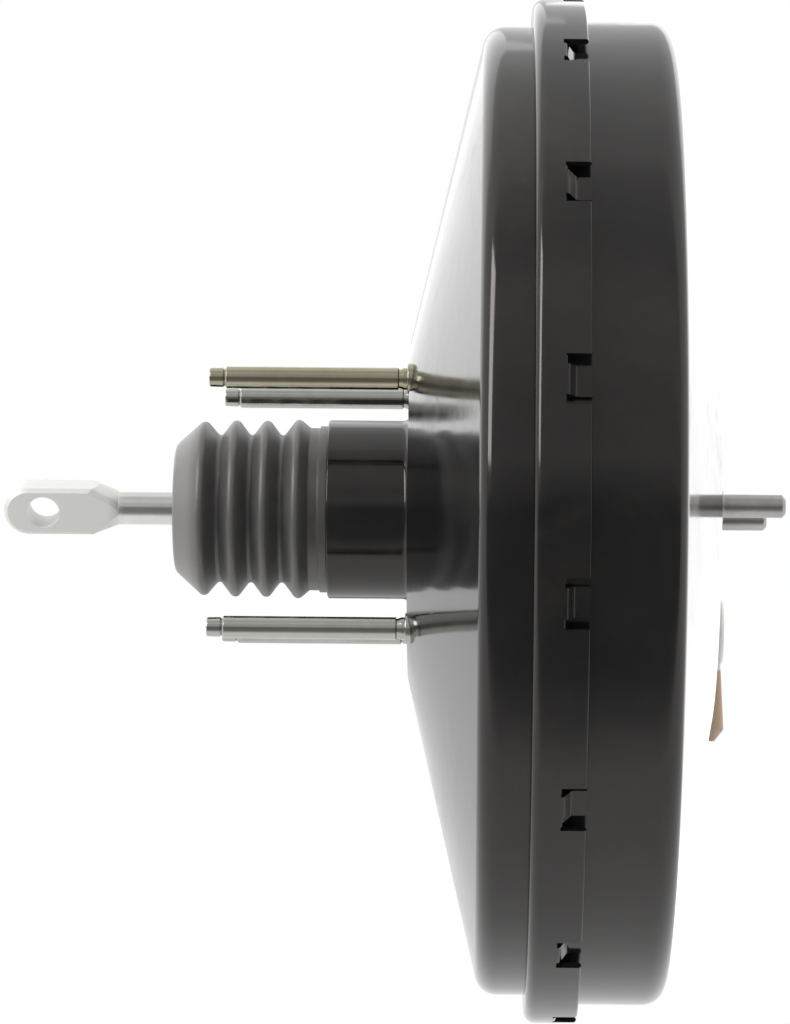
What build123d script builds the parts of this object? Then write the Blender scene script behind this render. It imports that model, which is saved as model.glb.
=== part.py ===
"""Vacuum brake booster, single diaphragm, modelled in millimetres.

The booster's axis is X: the firewall side looks along -X and the master cylinder side along +X.
The origin is the centre of the flat that rests on the firewall, and +Z is up.
"""
from build123d import *
import math
import os

# Control valve tube with the seal ring about it, which together set the neck's bore
TUBE_RADIUS = 17.9
SLIDE_CLEARANCE = 0.3
FIT_CLEARANCE = 0.15
SEAL_RING = 4.75

# Rear shell: a pressed steel cover with a neck, a firewall flat, a cone, a wall and a rim band
REAR_SHEET = 1.5
NECK_RADIUS = TUBE_RADIUS + SLIDE_CLEARANCE + SEAL_RING + FIT_CLEARANCE + REAR_SHEET
NECK_LENGTH = 22.5
NECK_FILLET = 2.0
FLAT_RADIUS = 46.8
FLAT_CORNER = 3.0
CONE_ANGLE = 76.76
CONE_SLOPE = math.tan(math.radians(CONE_ANGLE))
BAND_RADIUS = 140.3
BAND_CORNER = 3.0
BAND_STEP_X = 32.4
BAND_STEP = 7.55
BAND_STEP_FILLET = 2.0
BAND_END_X = 46.5
REAR_WALL_RADIUS = BAND_RADIUS - BAND_STEP
REAR_CORNER = 6.0

# Front shell: a pressed steel pan whose flange is held in the band by the lances
FRONT_SHEET = 1.6
FLANGE_CLEARANCE = 0.3
FLANGE_RADIUS = BAND_RADIUS - REAR_SHEET - FLANGE_CLEARANCE
FLANGE_WIDTH = 3.3
FLANGE_FILLET = 1.25
FRONT_WALL_RADIUS = FLANGE_RADIUS - FLANGE_WIDTH
FRONT_CORNER = 6.0
FRONT_FACE_X = 82.8
FRONT_FLAT_RADIUS = 60.0
FRONT_CONE_ANGLE = 10.0
FRONT_CONE_FALL = math.tan(math.radians(FRONT_CONE_ANGLE))
PILOT_RADIUS = 19.0
PILOT_DEPTH = 8.8
PILOT_LIP = 2.5

# Lances: tongues cut in the band's free edge and pushed inwards behind the flange
LANCE_COUNT = 16
LANCE_FIRST_ANGLE = 10.3
LANCE_WIDTH = 8.4
LANCE_FLOOR = 4.8
LANCE_DEPTH = 2.5
LANCE_LENGTH = 6.5

# Studs on the firewall side
FIREWALL_PITCH = 67.0
STUD_RADIUS = 3.0
STUD_REACH = 53.5
DOG_RADIUS = 2.65
DOG_LENGTH = 3.7
DOG_TAPER = 0.1
DOG_CHAMFER = 1.3
STUD_COLLAR_RADIUS = 4.2
STUD_COLLAR_HEIGHT = 0.4
STUD_HEAD_RADIUS = 5.5
STUD_HEAD_HEIGHT = 2.5
STUD_HOLE_CLEARANCE = 0.1

# Studs on the master cylinder side
MASTER_PITCH = 72.0
MASTER_STUD_RADIUS = 3.1
MASTER_STUD_REACH = 18.2
MASTER_COLLAR_RADIUS = 4.4
MASTER_COLLAR_HEIGHT = 1.5
STUD_TIP_CHAMFER = 0.9

# Reinforcement plates welded inside the two flats
REAR_PLATE = 2.0
REAR_PLATE_RADIUS = 45.0
REAR_PLATE_EAR = 6.4
FRONT_PLATE = 3.0
FRONT_PLATE_RADIUS = 52.0

# The rest of the tube that slides in the neck, and the hub in front of it
TUBE_BORE = 14.6
TUBE_END_X = -58.0
LIP_HEIGHT = 2.1
LIP_RADIUS = TUBE_RADIUS + LIP_HEIGHT
LIP_WIDTH = 2.2
GROOVE_X = 5.6
PLATE_X = 9.6
HUB_FLANGE_RADIUS = 27.0
HUB_FLANGE = 3.0
HUB_RADIUS = LIP_RADIUS
HUB_LENGTH = 17.0
REACTION_RADIUS = 14.5
REACTION_FLOOR_X = 17.5
PLUNGER_BORE = 6.3
CONTROL_BORE = 10.0
CONTROL_STEP_X = -6.0
VACUUM_SEAT_X = -14.0
VACUUM_SEAT_RADIUS = 11.0
SEAT_BEAD = 1.2
BORE_FLOOR_X = -13.0
VACUUM_PORT_RADIUS = 13.3
VACUUM_PORT_WIDTH = 2.2
VACUUM_PORT_ANGLE = 50.0

# Diaphragm and the steel plate that backs it
PLATE_SHEET = 1.2
PLATE_FLAT_RADIUS = 54.0
PLATE_RIM_GAP = 14.75
PLATE_RIM_RADIUS = REAR_WALL_RADIUS - PLATE_RIM_GAP
PLATE_RIM_LENGTH = 7.0
PLATE_CORNER = 4.0
RUBBER = 1.6
DIAPHRAGM_LIP = 27.0

# Seals in the neck
BEARING_LENGTH = 5.0
BEARING_X = -17.5
SEAL_LENGTH = 6.5
SEAL_X = -11.8
SEAL_GAP = 0.3
SEAL_GROOVE = 3.2
RETAINER_SHEET = 1.5
RETAINER_X = -4.8

# Return spring, a cone from the hub's flange to the front plate
RETURN_WIRE = 2.2
RETURN_LARGE = 31.0
RETURN_SMALL = 24.9
RETURN_TURNS = 6.0

# Reaction disc and output rod
DISC_THICKNESS = 5.5
ROD_HEAD = 4.0
ROD_RADIUS = 5.6
OUTPUT_TIP_X = 71.5
TIP_LENGTH = 9.0
TIP_RADIUS = 4.2
TIP_HEX = 10.0
TIP_HEX_LENGTH = 4.0
CAP_SHEET = 0.9

# Air valve plunger and its stop key
VALVE_LASH = 1.2
PLUNGER_CLEARANCE = 0.3
PLUNGER_HEAD_RADIUS = 9.4
PLUNGER_HEAD_LENGTH = 4.5
PLUNGER_MOUTH = 3.8
KEY_THICKNESS = 2.0
KEY_WIDTH = 15.0
KEY_REACH = 22.4
KEY_GROOVE_RADIUS = 4.6

# Poppet valve that closes on the two seats
POPPET_FOLLOW = 0.5
POPPET_OUTER = 12.6
POPPET_INNER = 6.6
POPPET_FACE = 2.4
POPPET_SLEEVE = 7.2
POPPET_SLEEVE_WALL = 1.4
POPPET_LENGTH = 16.5
POPPET_BEAD = 2.5
WASHER_SHEET = 0.9
POPPET_WIRE = 0.6
POPPET_TURNS = 4.0
CUP_SHEET = 1.1
CUP_DEPTH = 6.0

# Input rod with a ball at the plunger and a flat eye at the pedal
BALL_RADIUS = 4.2
BALL_X = -9.0
ROD_NECK_RADIUS = 2.9
ROD_NECK_END_X = -17.5
INPUT_ROD_RADIUS = 4.675
EYE_TAPER_X = -80.3
EYE_TAPER = 5.5
EYE_HOLE_X = -100.9
EYE_HOLE_RADIUS = 4.5
EYE_END = 10.8
EYE_WIDTH = 13.5
EYE_THICKNESS = 8.5
EYE_BEVEL = 1.0
EYE_ROLL = 25.0
ROD_TILT = 2.0
SPRING_SEAT_RADIUS = 9.2
SPRING_SEAT_X = -48.5
SPRING_SEAT = 1.5
ROD_SPRING_WIRE = 0.75
ROD_SPRING_TURNS = 4.0

# Air filter and silencer rings in the tube's open end
FILTER_HOLE = 6.8
FILTER_LENGTH = 4.4
SILENCER_LENGTH = 2.0
RING_GAP = 0.3

# Dust boot between the neck and the input rod
BOOT_WALL = 1.3
BOOT_TUBE_GAP = 0.5
BOOT_VALLEY_RADIUS = TUBE_RADIUS + BOOT_TUBE_GAP + BOOT_WALL
BOOT_FOLD = 5.6
BOOT_FIRST_FOLD = 4.9
BOOT_NOSE_DROP = 2.3
BOOT_NOSE_X = -64.5
BOOT_FIRST_CREST_X = -56.5
BOOT_PITCH = 8.53
BOOT_CRESTS = 4
BOOT_SHOULDER_STEP = 0.55
BOOT_SHOULDER_X = -27.5
BOOT_CUFF_X = -24.7
BOOT_CUFF_LENGTH = 5.2
BOOT_HOLE_CLEARANCE = 0.35
BOOT_SOFT = 0.8

# Vacuum check valve on the front face, with its hose nipple hanging down
VALVE_Y = 75.0
VALVE_Z = -31.0
VALVE_PAD_X = 82.0
VALVE_PAD_RADIUS = 13.0
GROMMET_RADIUS = 9.6
GROMMET_HOLE = 7.5
GROMMET_FLANGE = 2.5
VALVE_STEM_RADIUS = 4.6
VALVE_STEM_BORE = 2.7
VALVE_STEM_X = 74.6
VALVE_BODY_RADIUS = 10.0
VALVE_BODY_LENGTH = 6.6
VALVE_CHAMBER = 6.6
VALVE_WALL = 1.3
CHECK_DISC_RADIUS = 4.8
CHECK_DISC = 1.0
CHECK_LIFT = 1.0
CHECK_WIRE = 0.3
CHECK_TURNS = 3.0
NIPPLE_X = 88.9
NIPPLE_LEAN = 3.0
NIPPLE_RADIUS = 2.1
NIPPLE_BORE = 1.1
NIPPLE_BARB_RADIUS = 4.2
NIPPLE_TIP_RADIUS = 1.6
NIPPLE_LENGTH = 32.4
NIPPLE_TIP_LENGTH = 3.7


def rounded_outline(corners):
    """Closed outline through corners (x, r) or (x, r, fillet radius), as lines and tangent arcs."""
    spots = []
    for index, corner in enumerate(corners):
        point = Vector(corner[0], corner[1])
        fillet = corner[2] if len(corner) > 2 else 0
        if fillet <= 0:
            spots.append([point, None, point])
            continue
        before = corners[index - 1]
        after = corners[(index + 1) % len(corners)]
        back = (Vector(before[0], before[1]) - point).normalized()
        ahead = (Vector(after[0], after[1]) - point).normalized()
        half = math.radians(back.get_angle(ahead)) / 2
        run = fillet / math.tan(half)
        middle = (back + ahead).normalized()
        centre = point + middle * (fillet / math.sin(half))
        spots.append([point + back * run, centre - middle * fillet, point + ahead * run])
    edges = []
    for index, spot in enumerate(spots):
        start = spots[index - 1][2]
        if (spot[0] - start).length > 1e-6:
            edges.append(Edge.make_line(start, spot[0]))
        if spot[1] is not None:
            edges.append(Edge.make_three_point_arc(*spot))
    return Face(Wire(edges))


def turned(*corners):
    """Solid turned about the X axis from an outline of (x, r) corners."""
    return revolve(Plane.XZ * rounded_outline(corners), axis=Axis.X)


def sheet_corners(points, thickness):
    """Outline of a pressed sheet: the given face, and the other face to the right of its run."""
    shifted = []
    for index, point in enumerate(points):
        here = Vector(point[0], point[1])
        normals = []
        for a, b in ((index - 1, index), (index, index + 1)):
            if a >= 0 and b < len(points):
                run = Vector(points[b][0] - points[a][0], points[b][1] - points[a][1]).normalized()
                normals.append(Vector(run.Y, -run.X))
        first, last = normals[0], normals[-1]
        shift = (first + last) * (thickness / (1 + first.dot(last)))
        side = here + shift
        fillet = point[2] if len(point) > 2 else 0
        if fillet > 0:
            turns_left = first.X * last.Y - first.Y * last.X > 0
            fillet += thickness if turns_left else -thickness
        shifted.append((side.X, side.Y, max(fillet, 0)))
    return list(points) + shifted[::-1]


def pressed(points, thickness):
    """Pressed sheet metal or moulded rubber of one thickness, turned about the X axis."""
    return turned(*sheet_corners(points, thickness))


def inside_of(points, thickness):
    """The space under a pressed shell, as far as the axis."""
    inner = sheet_corners(points, thickness)[len(points):]
    return turned((inner[-1][0], 0), *inner[::-1], (inner[0][0], 0))


def rod_along_x(radius, start, end, y=0, z=0):
    """Plain round bar along X."""
    return Pos((start + end) / 2, y, z) * Rot(Y=90) * Cylinder(radius, abs(end - start))


def coil(start, end, start_radius, end_radius, wire, turns):
    """Spring wound about X between two X positions, which are the outsides of its end turns."""
    length = end - start - 2 * wire
    spread = math.degrees(math.atan2(end_radius - start_radius, length))
    path = Edge.make_helix(length / turns, length, start_radius, (start + wire, 0, 0), (1, 0, 0), spread)
    section = Plane(path @ 0, z_dir=path % 0) * Circle(wire)
    return sweep(section, path=Wire([path]), is_frenet=True)


def firewall_places():
    """Centres of the four firewall studs in Y and Z."""
    half = FIREWALL_PITCH / 2
    return [(y, z) for y in (-half, half) for z in (-half, half)]


def rear_shell_face():
    """Outer face of the rear shell, from the neck's lip to the band's free edge."""
    corner_x = (REAR_WALL_RADIUS - FLAT_RADIUS) / CONE_SLOPE
    return [
        (-NECK_LENGTH, NECK_RADIUS),
        (0, NECK_RADIUS, NECK_FILLET),
        (0, FLAT_RADIUS, FLAT_CORNER),
        (corner_x, REAR_WALL_RADIUS, REAR_CORNER),
        (BAND_STEP_X, REAR_WALL_RADIUS, BAND_STEP_FILLET),
        (BAND_STEP_X, BAND_RADIUS, BAND_CORNER),
        (BAND_END_X, BAND_RADIUS),
    ]


def front_shell_face():
    """Outer face of the front shell, from its flange to the inner end of the pilot collar."""
    flange_x = BAND_END_X - LANCE_LENGTH - FIT_CLEARANCE
    corner_x = FRONT_FACE_X - (FRONT_WALL_RADIUS - FRONT_FLAT_RADIUS) * FRONT_CONE_FALL
    return [
        (flange_x, FLANGE_RADIUS),
        (flange_x, FRONT_WALL_RADIUS, FLANGE_FILLET),
        (corner_x, FRONT_WALL_RADIUS, FRONT_CORNER),
        (FRONT_FACE_X, FRONT_FLAT_RADIUS, FRONT_CORNER),
        (FRONT_FACE_X, PILOT_RADIUS, PILOT_LIP),
        (FRONT_FACE_X - PILOT_DEPTH, PILOT_RADIUS),
    ]


def lance():
    """One tongue at the top of the band: a channel whose floor bears on the flange's face."""
    start = BAND_END_X - LANCE_LENGTH
    floor = BAND_RADIUS - LANCE_DEPTH
    ledge = LANCE_WIDTH / 2 + REAR_SHEET / 2
    top = math.sqrt(BAND_RADIUS**2 - ledge**2)
    section = sheet_corners(
        [
            (-ledge, top),
            (-LANCE_WIDTH / 2, top),
            (-LANCE_FLOOR / 2, floor),
            (LANCE_FLOOR / 2, floor),
            (LANCE_WIDTH / 2, top),
            (ledge, top),
        ],
        REAR_SHEET,
    )
    face = Plane.YZ.offset(start) * rounded_outline(section)
    return extrude(face, amount=LANCE_LENGTH, dir=(1, 0, 0))


def make_rear_shell():
    """Rear shell with its four stud holes, which reach into the start of the cone, and its lanced band."""
    shell = pressed(rear_shell_face(), REAR_SHEET)
    for y, z in firewall_places():
        shell -= rod_along_x(STUD_COLLAR_RADIUS + STUD_HOLE_CLEARANCE, -1, REAR_SHEET + REAR_PLATE, y, z)
    window = Pos(BAND_END_X - LANCE_LENGTH / 2, 0, BAND_RADIUS) * Box(LANCE_LENGTH, LANCE_WIDTH, 4 * REAR_SHEET)
    tongue = lance()
    turns = [90 - LANCE_FIRST_ANGLE - 360 / LANCE_COUNT * k for k in range(LANCE_COUNT)]
    shell = shell - [Rot(X=turn) * window for turn in turns]
    return shell + [Rot(X=turn) * tongue for turn in turns]


def make_front_shell():
    """Front shell with the check valve's pad and hole, and the two stud holes."""
    face = front_shell_face()
    shell = pressed(face, FRONT_SHEET)
    pad_start = VALVE_PAD_X - GROMMET_RADIUS
    pad = rod_along_x(VALVE_PAD_RADIUS, pad_start, VALVE_PAD_X, VALVE_Y, VALVE_Z)
    shell += pad - inside_of(face, FRONT_SHEET)
    shell -= rod_along_x(
        VALVE_PAD_RADIUS - FRONT_SHEET, pad_start, VALVE_PAD_X - FRONT_SHEET, VALVE_Y, VALVE_Z
    )
    shell -= rod_along_x(GROMMET_HOLE, pad_start, VALVE_PAD_X + 1, VALVE_Y, VALVE_Z)
    for side in (-1, 1):
        shell -= rod_along_x(
            MASTER_COLLAR_RADIUS + STUD_HOLE_CLEARANCE,
            FRONT_FACE_X - 2 * FRONT_SHEET,
            FRONT_FACE_X + 1,
            side * MASTER_PITCH / 2,
        )
    return shell


def make_rear_reinforcement():
    """Round plate with four ears under the stud heads, formed to the shell that it backs."""
    start = REAR_SHEET
    end = start + REAR_PLATE
    plate = rod_along_x(REAR_PLATE_RADIUS, start, end)
    for y, z in firewall_places():
        plate += rod_along_x(REAR_PLATE_EAR, start, end, y, z)
    plate &= inside_of(rear_shell_face(), REAR_SHEET)
    for y, z in firewall_places():
        plate -= rod_along_x(STUD_COLLAR_RADIUS + STUD_HOLE_CLEARANCE, start - 1, end + 1, y, z)
    return plate - rod_along_x(NECK_RADIUS + NECK_FILLET, start - 1, end + 1)


def make_front_reinforcement():
    """Round plate that backs the front flat, pierced for the pilot collar and the studs."""
    end = FRONT_FACE_X - FRONT_SHEET
    start = end - FRONT_PLATE
    plate = rod_along_x(FRONT_PLATE_RADIUS, start, end)
    plate -= rod_along_x(PILOT_RADIUS + FRONT_SHEET + PILOT_LIP, start - 1, end + 1)
    for side in (-1, 1):
        plate -= rod_along_x(
            MASTER_COLLAR_RADIUS + STUD_HOLE_CLEARANCE, start - 1, end + 1, side * MASTER_PITCH / 2
        )
    return plate


def make_firewall_studs():
    """Four studs: a welded head inside, a collar pressed through the sheet and a dog point."""
    head = REAR_SHEET + REAR_PLATE
    shoulder = DOG_LENGTH + DOG_CHAMFER
    stud = turned(
        (-STUD_REACH, 0),
        (-STUD_REACH, DOG_RADIUS - DOG_TAPER),
        (-STUD_REACH + DOG_LENGTH, DOG_RADIUS),
        (-STUD_REACH + shoulder, STUD_RADIUS),
        (-STUD_COLLAR_HEIGHT, STUD_RADIUS),
        (-STUD_COLLAR_HEIGHT, STUD_COLLAR_RADIUS - STUD_COLLAR_HEIGHT / 3),
        (0, STUD_COLLAR_RADIUS),
        (head, STUD_COLLAR_RADIUS),
        (head, STUD_HEAD_RADIUS),
        (head + STUD_HEAD_HEIGHT, STUD_HEAD_RADIUS),
        (head + STUD_HEAD_HEIGHT, 0),
    )
    return [Pos(0, y, z) * stud for y, z in firewall_places()]


def make_master_cylinder_studs():
    """Two studs with a head inside, a collar pressed through the sheet and a chamfered end."""
    tip = FRONT_FACE_X + MASTER_STUD_REACH
    head = FRONT_FACE_X - FRONT_SHEET - FRONT_PLATE
    stud = turned(
        (head - STUD_HEAD_HEIGHT, 0),
        (head - STUD_HEAD_HEIGHT, STUD_HEAD_RADIUS),
        (head, STUD_HEAD_RADIUS),
        (head, MASTER_COLLAR_RADIUS),
        (FRONT_FACE_X + MASTER_COLLAR_HEIGHT, MASTER_COLLAR_RADIUS),
        (FRONT_FACE_X + MASTER_COLLAR_HEIGHT, MASTER_STUD_RADIUS),
        (tip - STUD_TIP_CHAMFER, MASTER_STUD_RADIUS),
        (tip, MASTER_STUD_RADIUS - STUD_TIP_CHAMFER),
        (tip, 0),
    )
    return [Pos(0, side * MASTER_PITCH / 2, 0) * stud for side in (-1, 1)]


def make_tail_bearing():
    """Plastic guide ring in the neck."""
    inner = TUBE_RADIUS + SLIDE_CLEARANCE
    outer = NECK_RADIUS - REAR_SHEET - FIT_CLEARANCE
    end = BEARING_X + BEARING_LENGTH
    return turned((BEARING_X, inner), (BEARING_X, outer), (end, outer), (end, inner))


def make_tail_seal():
    """Rubber seal in the neck: a U section whose inner lip runs on the tube."""
    inner = TUBE_RADIUS + SLIDE_CLEARANCE
    outer = NECK_RADIUS - REAR_SHEET - FIT_CLEARANCE
    end = SEAL_X + SEAL_LENGTH
    lip = (outer - inner) / 3
    return turned(
        (SEAL_X, inner),
        (SEAL_X, outer),
        (end, outer),
        (end, outer - lip),
        (end - SEAL_GROOVE, outer - lip),
        (end - SEAL_GROOVE, inner + lip),
        (end, inner + lip),
        (end, inner),
    )


def make_seal_retainer():
    """Steel washer in the neck that keeps the seal and stops the key."""
    inner = TUBE_RADIUS + 3 * SLIDE_CLEARANCE
    outer = NECK_RADIUS - REAR_SHEET - FIT_CLEARANCE
    end = RETAINER_X + RETAINER_SHEET
    return turned((RETAINER_X, inner), (RETAINER_X, outer), (end, outer), (end, inner))


def plate_face():
    """Rear face of the diaphragm plate, from its hole to the end of its rim."""
    rim_x = PLATE_X + (PLATE_RIM_RADIUS - PLATE_FLAT_RADIUS) / CONE_SLOPE
    return [
        (PLATE_X, LIP_RADIUS + FIT_CLEARANCE + PLATE_SHEET),
        (PLATE_X, PLATE_FLAT_RADIUS, PLATE_CORNER),
        (rim_x, PLATE_RIM_RADIUS, PLATE_CORNER),
        (rim_x + PLATE_RIM_LENGTH, PLATE_RIM_RADIUS),
    ]


def make_diaphragm_plate():
    """Dished steel plate that carries the diaphragm."""
    return pressed(plate_face(), PLATE_SHEET)


def make_diaphragm():
    """Rubber diaphragm: a rim bead, one rolling fold, a web on the plate and a lip at the hub."""
    gap = SLIDE_CLEARANCE + RUBBER
    rim_x = PLATE_X + (PLATE_RIM_RADIUS - PLATE_FLAT_RADIUS) / CONE_SLOPE
    slant = gap * math.hypot(1, CONE_SLOPE) / CONE_SLOPE
    bead_start = BAND_STEP_X + REAR_SHEET
    bead_end = front_shell_face()[0][0] - FRONT_SHEET
    bead_middle = (bead_start + bead_end - RUBBER) / 2
    wall = FRONT_WALL_RADIUS - FRONT_SHEET
    hub = TUBE_RADIUS + SLIDE_CLEARANCE
    fold_x = bead_end + 5 * RUBBER
    outside = wall - SLIDE_CLEARANCE - RUBBER
    inside = PLATE_RIM_RADIUS + gap
    web = [
        (PLATE_X - gap, hub),
        (PLATE_X - gap, PLATE_FLAT_RADIUS + gap / 2, PLATE_CORNER),
        (rim_x - slant, inside, PLATE_CORNER + RUBBER),
        (fold_x, inside, PLATE_CORNER + RUBBER),
        (fold_x, outside, PLATE_CORNER + RUBBER),
        (bead_middle, outside, RUBBER / 4),
        (bead_middle, BAND_RADIUS - BAND_CORNER),
    ]
    rubber = pressed(web, RUBBER)
    bead_outer = BAND_RADIUS - REAR_SHEET - BAND_CORNER / 2
    bead = turned(
        (bead_start + FIT_CLEARANCE, wall + FIT_CLEARANCE, RUBBER / 2),
        (bead_start + FIT_CLEARANCE, bead_outer, RUBBER),
        (bead_end - FIT_CLEARANCE, bead_outer, RUBBER),
        (bead_end - FIT_CLEARANCE, wall + FIT_CLEARANCE, RUBBER / 2),
    )
    lip = turned(
        (GROOVE_X + FIT_CLEARANCE, hub),
        (GROOVE_X + FIT_CLEARANCE, DIAPHRAGM_LIP, RUBBER / 2),
        (PLATE_X - SLIDE_CLEARANCE, DIAPHRAGM_LIP + RUBBER),
        (PLATE_X - SLIDE_CLEARANCE, hub),
    )
    return rubber + bead + lip


def make_return_spring():
    """Conical return spring from the hub's flange to the front plate."""
    start = PLATE_X + PLATE_SHEET + SLIDE_CLEARANCE
    end = FRONT_FACE_X - FRONT_SHEET - FRONT_PLATE - SLIDE_CLEARANCE
    return coil(start, end, RETURN_LARGE, RETURN_SMALL, RETURN_WIRE, RETURN_TURNS)


def make_valve_body():
    """Moulded control valve body: the tube in the neck and the hub that carries the plate."""
    flange_x = PLATE_X + PLATE_SHEET
    hub_x = flange_x + HUB_FLANGE
    end = flange_x + HUB_LENGTH
    plate_seat = LIP_RADIUS + PLATE_SHEET
    body = turned(
        (TUBE_END_X, TUBE_BORE),
        (TUBE_END_X, TUBE_RADIUS),
        (GROOVE_X - LIP_WIDTH, TUBE_RADIUS),
        (GROOVE_X - LIP_WIDTH / 2, LIP_RADIUS),
        (GROOVE_X, LIP_RADIUS),
        (GROOVE_X, TUBE_RADIUS),
        (PLATE_X, TUBE_RADIUS),
        (PLATE_X, plate_seat),
        (flange_x, plate_seat),
        (flange_x, HUB_FLANGE_RADIUS),
        (hub_x, HUB_FLANGE_RADIUS),
        (hub_x, HUB_RADIUS),
        (end, HUB_RADIUS),
        (end, REACTION_RADIUS),
        (REACTION_FLOOR_X, REACTION_RADIUS),
        (REACTION_FLOOR_X, PLUNGER_BORE),
        (CONTROL_STEP_X, PLUNGER_BORE),
        (CONTROL_STEP_X, CONTROL_BORE),
        (VACUUM_SEAT_X, VACUUM_SEAT_RADIUS - SEAT_BEAD / 2),
        (VACUUM_SEAT_X, VACUUM_SEAT_RADIUS + SEAT_BEAD / 2),
        (BORE_FLOOR_X, VACUUM_SEAT_RADIUS + SEAT_BEAD / 2),
        (BORE_FLOOR_X, TUBE_BORE),
    )
    slot_start = RETAINER_X + RETAINER_SHEET - SLIDE_CLEARANCE
    slot_end = slot_start + KEY_THICKNESS + VALVE_LASH + 3 * SLIDE_CLEARANCE
    slot_width = KEY_WIDTH + 2 * SLIDE_CLEARANCE
    slot_middle = (slot_start + slot_end) / 2
    body -= Pos(slot_middle, 0, 0) * Box(slot_end - slot_start, slot_width, 2 * NECK_RADIUS)
    port_start = CONTROL_STEP_X - 1
    port_middle = (port_start + slot_end) / 2
    body -= Pos(port_middle, 0, 0) * Box(slot_end - port_start, slot_width / 2, 2 * CONTROL_BORE)
    for side in (0, 180):
        port_end = REACTION_FLOOR_X - 1
        ring = turned(
            (BORE_FLOOR_X - 1, VACUUM_PORT_RADIUS - VACUUM_PORT_WIDTH / 2),
            (BORE_FLOOR_X - 1, VACUUM_PORT_RADIUS + VACUUM_PORT_WIDTH / 2),
            (port_end, VACUUM_PORT_RADIUS + VACUUM_PORT_WIDTH / 2),
            (port_end, VACUUM_PORT_RADIUS - VACUUM_PORT_WIDTH / 2),
        )
        spread = math.tan(math.radians(VACUUM_PORT_ANGLE / 2)) * VACUUM_PORT_RADIUS
        sector = Pos(0, VACUUM_PORT_RADIUS, 0) * Box(4 * HUB_LENGTH, 2 * VACUUM_PORT_WIDTH, 2 * spread)
        outlet = Pos((hub_x + port_end) / 2, HUB_RADIUS, 0) * Box(
            port_end - hub_x, 2 * (HUB_RADIUS - VACUUM_PORT_RADIUS), spread
        )
        body -= Rot(X=side) * ((ring & sector) + outlet)
    return body


def make_reaction_disc():
    """Rubber disc between the hub, the plunger's nose and the output rod's head."""
    outer = REACTION_RADIUS - SLIDE_CLEARANCE
    return rod_along_x(outer, REACTION_FLOOR_X, REACTION_FLOOR_X + DISC_THICKNESS)


def make_output_rod():
    """Output rod: a flat head on the reaction disc and a shank drilled for its tip."""
    head = REACTION_FLOOR_X + DISC_THICKNESS
    end = OUTPUT_TIP_X - TIP_LENGTH
    return turned(
        (head, 0),
        (head, REACTION_RADIUS - SLIDE_CLEARANCE),
        (head + ROD_HEAD, REACTION_RADIUS - SLIDE_CLEARANCE),
        (head + ROD_HEAD, ROD_RADIUS, PLATE_SHEET),
        (end, ROD_RADIUS),
        (end, 0),
    )


def make_output_rod_tip():
    """Adjusting tip: a hexagon and a domed end that bears on the master cylinder's piston."""
    start = OUTPUT_TIP_X - TIP_LENGTH
    shoulder = start + TIP_HEX_LENGTH
    hexagon = RegularPolygon(TIP_HEX / 2, 6, major_radius=False)
    nut = extrude(Plane.YZ.offset(start) * hexagon, amount=TIP_HEX_LENGTH)
    dome = turned(
        (shoulder, 0),
        (shoulder, TIP_RADIUS),
        (OUTPUT_TIP_X - TIP_RADIUS / 2, TIP_RADIUS),
        (OUTPUT_TIP_X, TIP_RADIUS / 2),
        (OUTPUT_TIP_X, 0),
    )
    return nut + dome


def make_rod_retainer():
    """Spring steel cap that clips over the hub and keeps the output rod's head in it."""
    end = PLATE_X + PLATE_SHEET + HUB_LENGTH + FIT_CLEARANCE
    skirt = HUB_RADIUS + FIT_CLEARANCE
    hole = ROD_RADIUS + PLATE_SHEET + FIT_CLEARANCE
    return turned(
        (end - ROD_HEAD, skirt),
        (end - ROD_HEAD, skirt + CAP_SHEET),
        (end + CAP_SHEET, skirt + CAP_SHEET, CAP_SHEET),
        (end + CAP_SHEET, hole),
        (end, hole),
        (end, skirt),
    )


def make_plunger():
    """Air valve plunger: nose, key groove, seat head and the socket for the rod's ball."""
    radius = PLUNGER_BORE - PLUNGER_CLEARANCE
    nose = REACTION_FLOOR_X - VALVE_LASH - SLIDE_CLEARANCE
    seat = VACUUM_SEAT_X - POPPET_FOLLOW
    head = seat + PLUNGER_HEAD_LENGTH
    groove_start = key_start() - FIT_CLEARANCE
    groove_end = key_start() + KEY_THICKNESS + FIT_CLEARANCE
    body = turned(
        (nose, 0),
        (nose, radius),
        (groove_end, radius),
        (groove_end, KEY_GROOVE_RADIUS),
        (groove_start, KEY_GROOVE_RADIUS),
        (groove_start, radius),
        (head, radius),
        (head, PLUNGER_HEAD_RADIUS),
        (seat, PLUNGER_HEAD_RADIUS),
        (seat, 0),
    )
    socket = Pos(BALL_X, 0, 0) * Sphere(BALL_RADIUS + SLIDE_CLEARANCE)
    mouth = rod_along_x(PLUNGER_MOUTH, seat - 1, BALL_X)
    return body - socket - mouth


def key_start():
    """Rear face of the stop key, which rests against the seal retainer."""
    return RETAINER_X + RETAINER_SHEET + SLIDE_CLEARANCE


def make_stop_key():
    """Forked steel key through the valve body that stops the plunger."""
    middle = key_start() + KEY_THICKNESS / 2
    plate = Pos(middle, 0, 0) * Box(KEY_THICKNESS, KEY_WIDTH, 2 * KEY_REACH)
    plate &= rod_along_x(KEY_REACH, middle - KEY_THICKNESS, middle + KEY_THICKNESS)
    gap = 2 * (KEY_GROOVE_RADIUS + FIT_CLEARANCE)
    fork = Pos(middle, 0, -KEY_REACH / 2) * Box(2 * KEY_THICKNESS, gap, KEY_REACH)
    eye = rod_along_x(gap / 2, middle - KEY_THICKNESS, middle + KEY_THICKNESS)
    return plate - fork - eye


def poppet_front():
    """Sealing face of the poppet at rest."""
    return VACUUM_SEAT_X - POPPET_FOLLOW - SLIDE_CLEARANCE


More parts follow.
